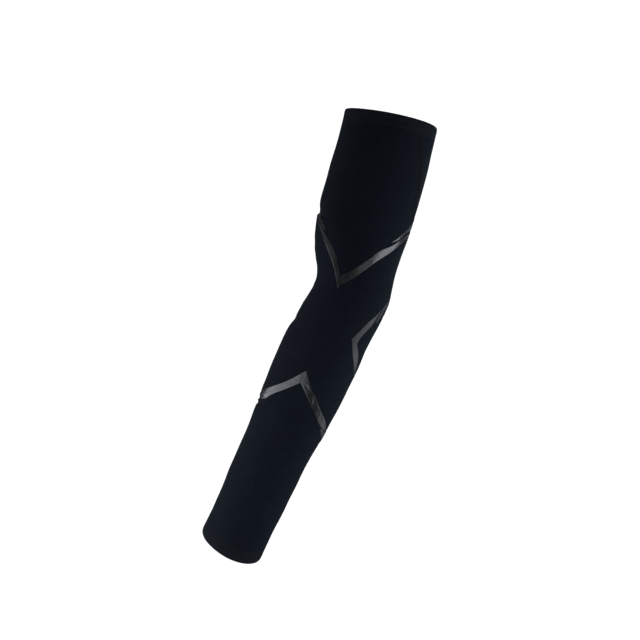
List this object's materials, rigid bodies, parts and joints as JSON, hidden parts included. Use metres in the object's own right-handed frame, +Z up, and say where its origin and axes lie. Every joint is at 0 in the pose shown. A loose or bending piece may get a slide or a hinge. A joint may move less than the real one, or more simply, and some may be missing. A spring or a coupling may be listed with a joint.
{
  "type": "arm compression sleeve",
  "caption": "Long knit compression sleeve for a slightly bent arm, open at both ends, with hems and bonded support tapes round the elbow.",
  "frame": {"origin": "middle of the upper arm opening, where the arm goes in", "axes": "+Z up from the elbow towards the shoulder as the sleeve is worn, +X to the right seen from the front, front faces -Y"},
  "size_m": [0.2189, 0.1667, 0.4245],
  "materials": {
    "knit": "fine black stretch knit, matt with a faint sheen at the sides",
    "tape": "thin dark grey bonded film tape, semi-gloss, slightly crinkled"
  },
  "bodies": {
    "root": {"sleeve_body": "knit", "upper_hem": "knit", "wrist_hem": "knit", "upper_chevron_front": "tape", "upper_chevron_back": "tape", "elbow_chevron_front": "tape", "elbow_chevron_back": "tape", "lower_chevron_front": "tape", "lower_chevron_back": "tape"}
  },
  "joints": []
}
